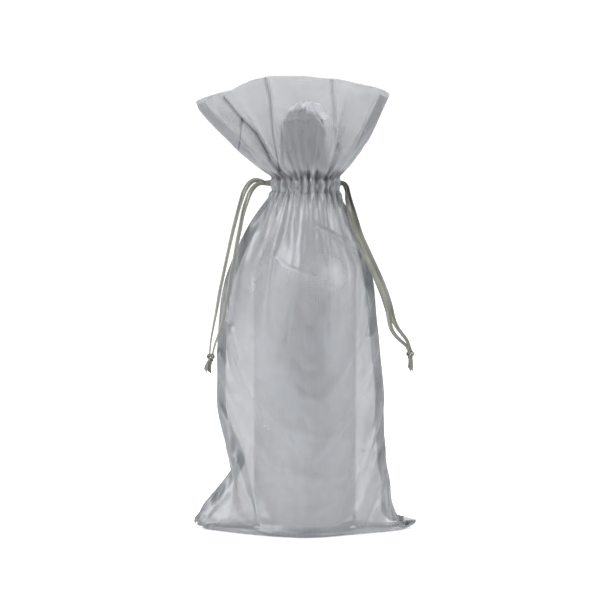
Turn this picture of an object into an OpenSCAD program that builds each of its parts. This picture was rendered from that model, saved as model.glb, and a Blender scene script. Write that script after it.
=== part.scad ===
// Sheer drawstring gift bag, gathered round the neck of a wine bottle that is wrapped in tissue.
// Millimetres. +Z is up and -Y is the front. The origin lies under the bottle, on the table.

/* [Bag] */
// Width of the bag laid flat, from side seam to side seam
flat_w = 165; // [160:1:170]
// Height at which the drawstring casing starts
casing_z = 251; // [247:1:255]
// Height of the casing, between its two rows of stitching
casing_h = 10; // [9:1:12]
// Height of the frill's top fold above the table
rim_z = 334; // [328:1:340]
// Thickness that stands for the cloth
cloth = 0.8; // [0.6:0.1:1]

/* [Bottle] */
// Diameter of the bottle's body
bottle_d = 73; // [71:0.5:74]
// Height of the bottle
bottle_h = 300; // [292:1:303]
// Diameter of the bottle's neck
neck_d = 29; // [28:0.5:29.5]

/* [Ribbon] */
// Width of the satin ribbon
ribbon_w = 6; // [5:0.5:6.5]
// Thickness that stands for the ribbon
ribbon_t = 0.8; // [0.6:0.1:0.9]

/* [Hidden] */

organza = [0.72, 0.74, 0.76, 0.6];
satin = [0.5, 0.51, 0.46];
thread = [0.62, 0.64, 0.66];
tissue = [0.93, 0.93, 0.92];
green_glass = [0.13, 0.2, 0.12];
cork_tan = [0.76, 0.6, 0.42];
foil = [0.35, 0.06, 0.1];

FRONT = -1;
BACK = 1;
LEFT = -1;
RIGHT = 1;

corner = flat_w / 2;              // how far the bottom corners reach to each side
seam_gap = 0.3;                   // half the space between the two panels along a side seam
slot = 1.9;                       // half the width of the ribbons' slot in each side of the casing
clear = 0.25;                     // space between the frill and its facing
space = 0.2;                      // space between the layers under the bottle
seam_t = 0.6;                     // thickness of the bottom seam's turned-in edges
paper = 0.5;                      // thickness that stands for the tissue paper
paper_z = cloth + space + seam_t + space;
base_z = paper_z + paper + space; // height of the bottle's base
stitch_in = 0.8;                  // the stitches run this far inside the casing's edges
casing_top = casing_z + casing_h;
casing_mid = casing_z + casing_h / 2;
casing_r = 24.5;                  // outer radius of the gathered casing
facing_r = 19;                    // outer radius of the facing behind the casing
pull_left = casing_r + 5;         // where the left ribbon's tail starts to swing
pull_right = casing_r + 2.5;      // and the right one's, which turns down sooner
columns = 20;                     // steps across a panel
rim_centre = -9;                  // the frill leans this far to the left
rim_half = 70;                    // half the width of the frill's top fold
rim_depth = 26;                   // depth of the frill's mouth from its middle to either panel
rim_drop = 19;                    // how far the fold's ends lie below its middle

// Side seams as [height, distance from the middle]: the lower corners lie spread on the table, the left
// seam is kinked above its corner, and both run in to the casing.
left_seam = [[0, corner], [4, corner], [15, 73], [29, 62.5], [46, 51], [68, 59], [86, 65], [117, 65.5],
             [139, 64.5], [161, 63], [179, 60], [196, 55], [214, 48], [231, 39.5], [243, 31],
             [casing_z, casing_r], [casing_top, casing_r]];
right_seam = [[0, corner], [4, corner], [9, 78], [15, 68], [24, 61.5], [45, 60], [86, 60], [117, 58.5],
              [139, 56], [161, 54], [179, 51.5], [196, 48.5], [214, 43], [231, 36], [243, 29],
              [casing_z, casing_r], [casing_top, casing_r]];
// Depth of either panel as [height, distance from the middle].
belly = [[0, 41], [10, 42.5], [60, 43], [180, 42.5], [196, 41], [214, 37], [231, 31], [243, 27],
         [casing_z, casing_r], [casing_top, casing_r]];
body_rows = [0, 4, 9, 15, 22, 30, 38, 46, 54, 62, 74, 88, 104, 122, 140, 158, 172, 184, 195, 205, 214,
             222, 230, 237, 244, casing_z, casing_z + 0.6, casing_top - 0.6, casing_top];
frill_rows = [0.06, 0.14, 0.25, 0.4, 0.55, 0.7, 0.85, 1];

// The smooth curve through a list of [height, value] pairs.
function span_of(list, z, i = 0) = (i >= len(list) - 2 || z <= list[i + 1][0]) ? i : span_of(list, z, i + 1);
function curve_at(list, z) =
    let (i = span_of(list, z), last = len(list) - 1, a = list[i], b = list[i + 1],
         before = list[max(0, i - 1)], after = list[min(last, i + 2)], h = b[0] - a[0],
         t = min(1, max(0, (z - a[0]) / h)),
         ma = h * (b[1] - before[1]) / (b[0] - before[0]), mb = h * (after[1] - a[1]) / (after[0] - a[0]))
    (2 * t * t * t - 3 * t * t + 1) * a[1] + (t * t * t - 2 * t * t + t) * ma
    + (3 * t * t - 2 * t * t * t) * b[1] + (t * t * t - t * t) * mb;

// A panel's section is half a lens in the body and the frill, and half a ring at the casing.
function lens_power(z) = z < casing_z - 50 ? 1.5 : z < casing_z ? 1 + 0.5 * (casing_z - z) / 50 : 1;
function edge_gap(z) = z > casing_z && z < casing_top ? slot : seam_gap;
function section(left, right, depth, power, gap, s, in_x, in_y) =
    let (half = (left + right) / 2 - in_x, middle = (right - left) / 2)
    [middle - half * cos(180 * s), max(gap, depth * pow(sin(180 * s), power) - in_y)];

// A point of the front's body: s runs from the left seam to the right one.
function body_point(z, s, in_x, in_y) =
    let (p = section(curve_at(left_seam, z), curve_at(right_seam, z), curve_at(belly, z),
                     lens_power(z), edge_gap(z), s, in_x, in_y))
    [p[0], -p[1], z];

// A point of the front's frill: t runs from the casing to the top fold.
function frill_point(radius, t, s, in_x, in_y) =
    let (low = section(radius, radius, radius, 1, seam_gap, s, in_x, in_y),
         high = section(rim_half - rim_centre, rim_half + rim_centre, rim_depth, 1.4, seam_gap, s,
                        in_x, in_y),
         top = rim_z - rim_drop * pow(abs(2 * s - 1), 2.2), flare = pow(t, 0.85))
    [low[0] + (high[0] - low[0]) * flare, -low[1] - (high[1] - low[1]) * flare,
     casing_top + (top - casing_top) * t];

// A closed wall between an outer and an inner grid of points with the same rows and columns.
module wall_between(outer, inner, flip) {
    rows = len(outer);
    cols = len(outer[0]);
    size = rows * cols;
    points = [for (grid = [outer, inner]) for (row = grid) for (p = row) p];
    function at(grid, r, c) = grid * size + r * cols + c;
    function quad(a, b, c, d) = flip ? [[d, c, b], [d, b, a]] : [[a, b, c], [a, c, d]];
    top = rows - 1;
    end = cols - 1;
    faces = concat(
        [for (r = [0 : top - 1], c = [0 : end - 1])
            each quad(at(0, r, c), at(0, r + 1, c), at(0, r + 1, c + 1), at(0, r, c + 1))],
        [for (r = [0 : top - 1], c = [0 : end - 1])
            each quad(at(1, r, c), at(1, r, c + 1), at(1, r + 1, c + 1), at(1, r + 1, c))],
        [for (r = [0 : top - 1]) each quad(at(0, r, 0), at(1, r, 0), at(1, r + 1, 0), at(0, r + 1, 0))],
        [for (r = [0 : top - 1])
            each quad(at(0, r, end), at(0, r + 1, end), at(1, r + 1, end), at(1, r, end))],
        [for (c = [0 : end - 1]) each quad(at(0, 0, c), at(0, 0, c + 1), at(1, 0, c + 1), at(1, 0, c))],
        [for (c = [0 : end - 1])
            each quad(at(0, top, c), at(1, top, c), at(1, top, c + 1), at(0, top, c + 1))]);
    polyhedron(points = points, faces = faces, convexity = 10);
}

// The front panel from the bottom seam, along the table, up the body, through the casing and up the frill.
module panel() {
    edge = 1.5; // the cloth doubles back this far at a side seam
    bottom_half = corner - 2.5; // half the length of the bottom seam
    bottom_y = -2 * seam_gap;
    outer = concat(
        [[for (c = [0 : columns]) [-bottom_half * cos(180 * c / columns), bottom_y, 0]]],
        [for (z = body_rows) [for (c = [0 : columns]) body_point(z, c / columns, 0, 0)]],
        [for (t = frill_rows) [for (c = [0 : columns]) frill_point(casing_r, t, c / columns, 0, 0)]]);
    inner = concat(
        [[for (c = [0 : columns]) [-(bottom_half - edge) * cos(180 * c / columns), bottom_y, cloth]]],
        [for (z = body_rows) let (up = max(z, cloth))
            [for (c = [0 : columns]) let (p = body_point(z, c / columns, edge, cloth)) [p[0], p[1], up]]],
        [for (t = frill_rows) [for (c = [0 : columns]) frill_point(casing_r, t, c / columns, edge, cloth)]]);
    color(organza) wall_between(outer, inner, true);
}

// The front panel's top, folded down inside the frill and caught by both rows of casing stitches.
module facing() {
    edge = 3;
    lap = cloth + clear;
    ring = [casing_z + 0.4, casing_top];
    function ring_row(z, in) = [for (c = [0 : columns])
        let (p = section(facing_r, facing_r, facing_r, 1, slot, c / columns, in, in)) [p[0], -p[1], z]];
    function frill_row(t, in) = [for (c = [0 : columns])
        frill_point(facing_r + 2 * t + edge, t, c / columns, edge + in, lap + in)];
    outer = concat([for (z = ring) ring_row(z, 0)], [for (t = frill_rows) frill_row(t, 0)]);
    inner = concat([for (z = ring) ring_row(z, cloth)], [for (t = frill_rows) frill_row(t, cloth)]);
    color(organza) wall_between(outer, inner, true);
}

// The turned-in edges of a side seam: one strip up the body and one up the frill.
module side_seam(side) {
    away = 2.4;
    wide = 5;
    thick = 0.5;
    inner = away + wide; // the frill's strip starts closer to the middle, past the facing's edge
    seam = side == LEFT ? left_seam : right_seam;
    heights = [for (z = body_rows) if (z > 4 && z < casing_z - 10) z];
    function strip(y) = [for (z = heights)
        let (x = curve_at(seam, z)) [for (d = [away, away + wide]) [side * (x - d), y, z]]];
    function frill_strip(y) = [for (t = [0.3, 0.5, 0.7, 0.85, 0.97])
        let (p = frill_point(casing_r, t, side == LEFT ? 0 : 1, 0, 0))
        [for (d = [inner - 2, inner + 1]) [p[0] - side * d, y, p[2]]]];
    color(organza) {
        wall_between(strip(-thick / 2), strip(thick / 2), side == RIGHT);
        wall_between(frill_strip(-thick / 2), frill_strip(thick / 2), side == RIGHT);
    }
}

// The turned-in edges of the bottom seam, flat under the bottle.
module bottom_seam() {
    inset = 6;
    wide = 5;
    long = 2 * (corner - inset);
    color(organza) translate([-long / 2, -wide / 2, cloth + space]) cube([long, wide, seam_t]);
}

// One row of stitches round the casing.
module casing_stitching(z) {
    thread_r = 0.25;
    off = 0.1;
    color(thread) translate([0, 0, z]) rotate_extrude($fn = 96)
        translate([casing_r + thread_r + off, 0]) circle(r = thread_r, $fn = 24);
}

// A ribbon inside the casing, which runs once round and leaves where it came in.
module ribbon_loop(radius, exit_angle) {
    gap = 9; // degrees either side of the exit
    color(satin) translate([0, 0, casing_mid - ribbon_w / 2]) rotate([0, 0, exit_angle + gap])
        rotate_extrude(angle = 360 - 2 * gap, $fn = 96) translate([radius, 0]) square([ribbon_t, ribbon_w]);
}

// The two thicknesses of ribbon in a slot of the casing.
module ribbon_lead(side) {
    from = casing_r - 1.7;
    to = (side == LEFT ? pull_left : pull_right) - 0.5;
    color(satin) for (y = [FRONT, BACK])
        translate([side * (from + to) / 2, y * (0.15 + ribbon_t / 4), casing_mid])
            cube([to - from, ribbon_t / 2, ribbon_w], center = true);
}

// Routes of the free ribbons, from the casing to the knot.
left_front_route = [
    [-29.5, -1.2, 256], [-33, -1.4, 256], [-36.5, -1.6, 254], [-40, -2, 249.5], [-43, -2.5, 242],
    [-45.5, -3.5, 234], [-47.5, -5, 224], [-49.5, -8, 214], [-51.5, -11.5, 203], [-54, -14.5, 191],
    [-56, -16.5, 179], [-58, -16.5, 168], [-60.5, -14, 157], [-63.5, -10, 146], [-66.5, -5, 137],
    [-68.4, -0.5, 129.5]];
left_back_route = [
    [-29.5, 1.2, 256], [-33, 1.6, 257.5], [-37, 2, 258], [-41, 2, 255.5], [-45, 1.8, 249],
    [-48, 1.5, 240], [-50.5, 1.5, 231], [-53.5, 1.5, 219], [-56.5, 1.5, 206], [-59.5, 1.5, 192],
    [-62.5, 1.5, 178], [-65, 1.5, 164], [-67.5, 1.5, 151], [-69.5, 1, 140], [-70.5, 0.5, 129.5]];
right_front_route = [
    [27, -1.2, 256], [28.6, -2.2, 255.2], [29.8, -4, 251.8], [30.4, -8, 246], [32.2, -13.4, 237.8],
    [34.6, -16, 228.6], [37.2, -17, 219.8], [41.6, -14.8, 210], [47.5, -9.8, 197.4], [51.8, -7, 188],
    [56.8, -5, 175.7], [60.6, -4, 164], [61.8, -3.5, 156], [63, -3, 150], [66.2, -2.6, 144.2],
    [70.6, -2.2, 139.8], [74.6, -1.7, 136], [76.8, -1.2, 131.5]];
right_back_route = [
    [27, 1.2, 256], [29, 0.8, 255.4], [31.2, -0.8, 252.2], [32.6, -4, 246], [34.6, -9, 237.8],
    [37.2, -11.4, 228.6], [39.8, -13, 219.8], [43.8, -11, 210], [49.5, -6.2, 197.4], [53.8, -4, 188],
    [58.8, -2, 175.7], [62.6, -1, 164], [64.8, -0.5, 156], [67.6, 0, 150], [71.4, 0.5, 144.8],
    [75.2, 1, 139.5], [78, 1.2, 131.5]];
left_knot_at = [-69.5, 0, 127.5];
right_knot_at = [77.5, 0, 129.5];
left_turns = [2, 24]; // how far each cut end leans outwards
right_turns = [-3, 4];

function unit(v) = v / norm(v);
// A flat ribbon swept along a route. across(i) is the way its width points at point i.
module ribbon(route, across) {
    last = len(route) - 1;
    sides = 8;
    turned = 0.45 * last; // the ribbon has turned from its first way to its second by this ring
    reach = 1 / cos(180 / sides);
    rings = [for (i = [0 : last])
        let (along = unit(route[min(last, i + 1)] - route[max(0, i - 1)]),
             hint = across[0] + (across[1] - across[0]) * min(1, i / turned),
             wide = unit(hint - (hint * along) * along), flat = cross(along, wide))
        [for (k = [0 : sides - 1]) let (a = 360 * (k + 0.5) / sides)
            route[i] + wide * reach * ribbon_w / 2 * cos(a) + flat * reach * ribbon_t / 2 * sin(a)]];
    faces = concat([[for (k = [sides - 1 : -1 : 0]) k]],
        [for (i = [0 : last - 1], k = [0 : sides - 1])
            let (n = (k + 1) % sides, a = i * sides, b = a + sides)
            each [[a + k, a + n, b + n], [a + k, b + n, b + k]]],
        [[for (k = [0 : sides - 1]) last * sides + k]]);
    color(satin) polyhedron(points = [for (ring = rings) for (p = ring) p], faces = faces, convexity = 8);
}

// An overhand knot: a turn of ribbon round the two strands.
module knot(at) {
    color(satin) translate(at) {
        rotate_extrude($fn = 48) translate([1.9, 0]) circle(r = 1.4, $fn = 32);
        cylinder(r = 1.9, h = 5.4, center = true, $fn = 48);
    }
}

// The two cut ends below a knot, narrower than the ribbon because the knot creases them.
module ribbon_ends(at, turns) {
    long = 9;
    color(satin) for (k = [0, 1])
        translate([at[0], at[1] + (k - 0.5) * 1.2, at[2] - 2.8]) rotate([0, turns[k], 0])
            translate([0, 0, -long / 2]) cube([ribbon_w * 0.6, ribbon_t, long], center = true);
}

bottle_r = bottle_d / 2;
neck_r = neck_d / 2;
glass = 3;
shoulder_z = 188;
neck_z = 228;

// The shoulder's outline as [radius, height] points, an S from the body's radius to the neck's.
function shoulder(body, neck, low, high, steps = 12) =
    [for (i = [0 : steps]) let (t = i / steps, part = 0.5 + 0.5 * cos(180 * pow(t, 1.25)))
        [neck + (body - neck) * part, low + (high - low) * t]];
function reversed(list) = [for (i = [len(list) - 1 : -1 : 0]) list[i]];

module bottle() {
    outer = concat([[0, 0], [bottle_r - 6, 0], [bottle_r - 1.8, 1.8], [bottle_r, 6]],
        shoulder(bottle_r, neck_r, shoulder_z - base_z, neck_z - base_z),
        [[neck_r, bottle_h - 12], [neck_r + 0.6, bottle_h - 11], [neck_r + 0.6, bottle_h - 4],
         [neck_r - 0.4, bottle_h], [9.4, bottle_h]]);
    inner = concat([[9.4, bottle_h - 48], [neck_r - glass, bottle_h - 60]],
        reversed(shoulder(bottle_r - glass, neck_r - glass, shoulder_z - base_z - glass,
                          neck_z - base_z - glass)),
        [[bottle_r - glass, 12], [bottle_r - glass - 4, 8], [0, 14]]);
    color(green_glass) translate([0, 0, base_z]) rotate_extrude($fn = 96) polygon(concat(outer, inner));
}

module cork() {
    color(cork_tan) translate([0, 0, base_z + bottle_h - 45]) cylinder(r = 9.35, h = 45, $fn = 64);
}

module foil_capsule() {
    gap = 0.7;
    wall = 0.3;
    r = neck_r + gap;
    color(foil) translate([0, 0, base_z]) rotate_extrude($fn = 96)
        polygon([[r, bottle_h - 58], [r + wall, bottle_h - 58], [r + wall, bottle_h + 0.1 + wall],
                 [0, bottle_h + 0.1 + wall], [0, bottle_h + 0.1], [r, bottle_h + 0.1]]);
}

// Tissue paper round the whole bottle, drawn in at the casing and crumpled over the top.
module tissue_wrap() {
    body = bottle_r + 1.2;
    waist = neck_r + 2.6;
    low = paper_z;
    top = base_z + bottle_h;
    outer = concat([[0, low], [body - 6, low], [body - 1.7, low + 1.7], [body, low + 6]],
        shoulder(body, waist, shoulder_z, neck_z + 4),
        [[waist, casing_top], [waist + 1.4, casing_top + 14], [waist + 1.8, top - 14], [waist, top + 1],
         [waist - 6, top + 8], [3, top + 12], [0, top + 12]]);
    inner = concat([[0, top + 11], [2, top + 11], [waist - 7, top + 7.2], [waist - 0.7, top + 0.7],
         [waist + 1.2, top - 14.4], [waist + 0.9, casing_top + 14], [waist - paper, casing_top]],
        reversed(shoulder(body - paper, waist - paper, shoulder_z, neck_z + 4)),
        [[body - paper, low + 6], [body - 2.2, low + 2.2], [body - 6.2, low + paper], [0, low + paper]]);
    color(tissue) rotate_extrude($fn = 96) polygon(concat(outer, inner));
}

// Which way a ribbon's width points: up at the slot, then one of the others.
up = [0, 0, 1];
front_to_back = [-0.4, 0.9, 0.15];
across_front = [0.85, 0.45, 0.3];

panel();  // front_panel
mirror([0, 1, 0]) panel();  // back_panel
facing();  // front_facing
mirror([0, 1, 0]) facing();  // back_facing
side_seam(LEFT);  // left_side_seam
side_seam(RIGHT);  // right_side_seam
bottom_seam();
casing_stitching(casing_top - stitch_in);  // upper_casing_stitching
casing_stitching(casing_z + stitch_in);  // lower_casing_stitching
ribbon_loop(19.6, 180);  // left_ribbon_loop
ribbon_loop(21, 0);  // right_ribbon_loop
tissue_wrap();
bottle();
cork();
foil_capsule();
ribbon_lead(LEFT);  // left_ribbon_lead
ribbon(left_front_route, [up, front_to_back]);  // left_front_strand
ribbon(left_back_route, [up, front_to_back]);  // left_back_strand
knot(left_knot_at);  // left_knot
ribbon_ends(left_knot_at, left_turns);  // left_ribbon_ends
ribbon_lead(RIGHT);  // right_ribbon_lead
ribbon(right_front_route, [up, across_front]);  // right_front_strand
ribbon(right_back_route, [up, across_front]);  // right_back_strand
knot(right_knot_at);  // right_knot
ribbon_ends(right_knot_at, right_turns);  // right_ribbon_ends
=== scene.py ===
"""A sheer drawstring gift bag standing round a tissue-wrapped bottle: its cloth, seams, ribbons and finishes.

The cloth is laid out as two flat panels, set round the bottle and settled by a small cloth solver. What it
leaves is smoothed below the casing, then creased along chosen lines, crumpled a little and ruched at the casing.
The frill above the casing is laid by a formula.
"""
import math

import bmesh
import bpy
import numpy as np
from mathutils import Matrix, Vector


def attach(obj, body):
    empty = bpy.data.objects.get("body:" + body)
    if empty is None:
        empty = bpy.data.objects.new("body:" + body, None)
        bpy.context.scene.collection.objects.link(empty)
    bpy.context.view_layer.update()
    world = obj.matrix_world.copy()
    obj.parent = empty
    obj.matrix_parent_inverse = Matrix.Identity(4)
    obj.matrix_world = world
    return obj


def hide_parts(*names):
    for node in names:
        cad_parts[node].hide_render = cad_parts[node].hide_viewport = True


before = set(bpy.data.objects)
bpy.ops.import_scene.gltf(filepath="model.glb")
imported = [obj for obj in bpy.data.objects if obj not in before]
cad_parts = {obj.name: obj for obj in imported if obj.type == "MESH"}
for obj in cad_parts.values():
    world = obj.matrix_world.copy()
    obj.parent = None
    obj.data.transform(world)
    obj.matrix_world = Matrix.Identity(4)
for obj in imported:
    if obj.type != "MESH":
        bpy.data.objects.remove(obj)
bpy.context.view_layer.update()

MM = 0.001

# ------------------------ the cut of the bag, in millimetres
FLAT_W, FLAT_H = 165.0, 381.0      # each panel, from side seam to side seam and from bottom seam to top fold
LOW_ROW, HIGH_ROW = 291.0, 301.0   # the two rows of casing stitches, up the flat panel
CASING_Z = 251.0                   # the lower row above the table
CASING_TOP = CASING_Z + HIGH_ROW - LOW_ROW
NECK_DEPTH, RIM_DEPTH = 24.5, 21.0  # from the middle to the cloth, at the casing and at the top fold
TURNING = 6.5                      # seam allowance of the side seams

# Side seams as (height, distance from the middle), from the table to the casing, and the frill's slanting edges.
LEFT_SEAM = [(5, 82), (16, 76.5), (25, 69.8), (34, 62.5), (43, 56), (51.5, 50.7), (56, 52.2), (65, 56), (74, 59.5),
             (83, 62.8), (92, 65.2), (105, 65.6), (122, 65.4), (148, 64.5), (160, 63.4), (175, 61.5), (188, 58.5),
             (202, 53), (215, 47), (228, 40.5), (240, 32), (247, 27), (251, 24.5)]
RIGHT_SEAM = [(6, 82.5), (8, 77), (9.5, 71), (11, 66), (15, 63), (22, 62.8), (35, 62.8), (50, 60.8), (70, 59.2),
              (100, 58.6), (112, 58), (124, 56.8), (140, 55), (154, 53.6), (170, 52), (185, 50.5), (200, 47.5),
              (212, 43.5), (224, 39), (236, 33), (245, 27.5), (251, 24.5)]
LEFT_FRILL = [(261, 24.5), (262.5, 32), (267.7, 39.5), (276.6, 48.4), (285.6, 57.4), (294.5, 66.3), (299, 70.8),
              (303.4, 74.5), (308, 77.4), (316, 79.5)]
RIGHT_FRILL = [(261, 24.5), (266, 32), (275, 39.5), (285, 46), (294, 50.8), (304, 55), (313, 58.8), (320, 61.5)]
# The panel's middle line as (depth, height): out along the table, up the front and in to the casing.
MIDDLE = [(0, 0.4), (38, 0.5), (42, 4), (43, 12), (43, 100), (42.5, 178), (41, 194), (37, 212), (31, 230), (27, 242),
          (24.5, 251)]
# The top fold as (share of the way across, height).
RIM = [(0.0, 315), (0.053, 315.5), (0.196, 320.5), (0.282, 323.6), (0.361, 331), (0.423, 334), (0.54, 334),
       (0.592, 332.6), (0.646, 331.8), (0.705, 329.8), (0.77, 327.4), (0.9, 323.2), (1.0, 320)]


def rise(x, start, over):
    """0 up to start, then a straight rise to 1 over that much more."""
    return np.clip((x - start) / over, 0, 1)


def unit(v):
    return v / np.linalg.norm(v, axis=-1, keepdims=True)


def way_along(p):
    """The distance from a line's first point to each of its points."""
    return np.concatenate([[0], np.cumsum(np.linalg.norm(np.diff(p, axis=0), axis=1))])


def smooth_line(points, count=400, blur=3.0):
    """A polyline as evenly spaced samples of its own length, rounded with a short moving average."""
    p = np.array(points, float)
    s = way_along(p)
    even = np.linspace(0, s[-1], count)
    line = np.stack([np.interp(even, s, p[:, k]) for k in range(p.shape[1])], axis=1)
    reach = max(1, int(blur / (s[-1] / count)))
    kernel = np.hanning(2 * reach + 3)[1:-1]
    kernel /= kernel.sum()
    ends = [np.repeat(line[:1], reach, axis=0), line, np.repeat(line[-1:], reach, axis=0)]
    padded = np.concatenate(ends)
    soft = np.stack([np.convolve(padded[:, k], kernel, "valid") for k in range(p.shape[1])], axis=1)
    soft[0], soft[-1] = line[0], line[-1]
    return soft


def along(points, share):
    """The point at each share of a line's length."""
    line = smooth_line(points)
    s = np.linspace(0, 1, len(line))
    return np.stack([np.interp(share, s, line[:, k]) for k in range(line.shape[1])], axis=-1)


def seam_at(side, v):
    """Where a side seam runs: x and z for each distance v up the flat panel."""
    lower, upper = (LEFT_SEAM, LEFT_FRILL) if side < 0 else (RIGHT_SEAM, RIGHT_FRILL)
    low = along(lower, rise(v, 0, LOW_ROW))
    high = along(upper, rise(v, HIGH_ROW, FLAT_H - HIGH_ROW))
    across = rise(v, LOW_ROW, HIGH_ROW - LOW_ROW)
    z = np.where(v <= LOW_ROW, low[..., 0],
                 np.where(v >= HIGH_ROW, high[..., 0], CASING_Z + across * (CASING_TOP - CASING_Z)))
    x = np.where(v <= LOW_ROW, low[..., 1], high[..., 1])
    return side * x, z


def gather_phase(u):
    """How far round its gathers the cloth is: about ten folds across a panel, wide and narrow ones in turn."""
    uneven = 0.32 * np.sin(2 * np.pi * 1.35 * u + 0.6) + 0.16 * np.sin(2 * np.pi * 3.4 * u + 2.0)
    return 2 * np.pi * (10.5 * u + uneven)


# Folds of the frill as (share of the way across, how far it stands out), straight from the casing to the rim.
FRONT_FOLDS = [(0, 0), (0.07, 1.2), (0.13, -1.5), (0.2, 2.4), (0.29, -1.6), (0.335, 2.6), (0.42, -1.0), (0.5, 0.4),
               (0.58, -1.4), (0.655, 2.4), (0.71, -1.8), (0.8, 2.6), (0.86, -1.0), (0.93, 1.2), (1, 0)]
BACK_FOLDS = [(0, 0), (0.08, 1.6), (0.17, -1.4), (0.27, 2.2), (0.36, -1.5), (0.47, 1.8), (0.55, -1.2), (0.66, 2.3),
              (0.74, -1.6), (0.84, 2.0), (0.92, -0.8), (1, 0)]
FOLD_HEIGHT = 1.5
FLUTE_HEIGHT, FLUTE_BELOW, FLUTE_ABOVE = 2.55, 12, 14    # the gathers at the casing, and how fast they fade


def start_shape(u, v, front):
    """The panel before it settles: ellipse-like rows from seam to seam whose middles follow MIDDLE, drawn into
    a fluted half ring at the casing and opened again up to the rim."""
    xl, zl = seam_at(-1, v)
    xr, zr = seam_at(1, v)
    phi = np.pi * u
    bow = np.sin(phi)
    share = rise(v, 0, LOW_ROW)
    mid = along(MIDDLE, share)
    t = rise(v, HIGH_ROW, FLAT_H - HIGH_ROW)
    rim_z = np.interp(u, [a for a, _ in RIM], [b for _, b in RIM])
    depth = np.where(v <= LOW_ROW, mid[..., 0], NECK_DEPTH + (RIM_DEPTH - NECK_DEPTH) * t)
    side_z = zl + (zr - zl) * u
    mid_z = np.where(v <= LOW_ROW, mid[..., 1],
                     np.where(v <= HIGH_ROW, CASING_Z + (v - LOW_ROW), CASING_TOP + (rim_z - CASING_TOP) * t))
    hold = bow ** 0.8
    z = np.where(v <= LOW_ROW, side_z * (1 - hold) + mid_z * hold, mid_z)
    half, centre = (xr - xl) / 2, (xr + xl) / 2
    x = centre - half * np.cos(phi)
    y = depth * bow ** (1.0 + 0.25 * t)
    # flutes: strongest at the casing, fading below it and up the frill
    below = np.exp(-np.clip(LOW_ROW - v, 0, None) / FLUTE_BELOW)
    above = np.exp(-np.clip(v - HIGH_ROW, 0, None) / FLUTE_ABOVE)
    deep = FLUTE_HEIGHT * below * above * (0.8 + 0.2 * np.sin(2 * np.pi * 3.3 * u + (1 if front else 4)))
    turn = gather_phase(u if front else 1 - u * 0.97)
    flute = deep * (0.8 * np.cos(turn) + 0.3 * np.cos(2.27 * turn + 1.1))
    inward = 1.45 * below * above
    folds = FRONT_FOLDS if front else BACK_FOLDS
    open_out = np.sin(np.pi * t ** 0.8 * 0.86)
    stand = np.interp(u, [a for a, _ in folds], [b for _, b in folds]) * FOLD_HEIGHT * open_out
    x = x - (flute - inward + stand) * np.cos(phi)
    y = y + (flute - inward + stand) * bow
    return np.stack([x, -y if front else y, z], axis=-1)


# The wrapped bottle, for the cloth to lie on: its radii, the heights of its shoulder and its top as (height, radius).
WRAP_BODY, WRAP_WAIST = 37.7, 17.1
WRAP_SHOULDER = (188.0, 232.0)
WRAP_END = 314.0                   # above this the wrap is nearly closed and the cloth clears it
WRAP_GAP, TABLE_GAP, HALF_GAP = 1.1, 0.45, 0.25    # the least room to the wrap, the table and the other panel
WRAP_TOP = [(261, 17.1), (275, 18.5), (288.6, 18.9), (303.6, 17.1), (310.6, 11.1), (314.6, 3.0), (316, 0.1)]


def wrap_radius(z):
    """The body's radius, an S-shaped shoulder, the waist in the casing and the crumpled top."""
    t = rise(z, WRAP_SHOULDER[0], WRAP_SHOULDER[1] - WRAP_SHOULDER[0])
    body = WRAP_WAIST + (WRAP_BODY - WRAP_WAIST) * (0.5 + 0.5 * np.cos(np.pi * t ** 1.25))
    return np.where(z < WRAP_TOP[0][0], body, np.interp(z, [h for h, _ in WRAP_TOP], [r for _, r in WRAP_TOP]))


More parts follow.
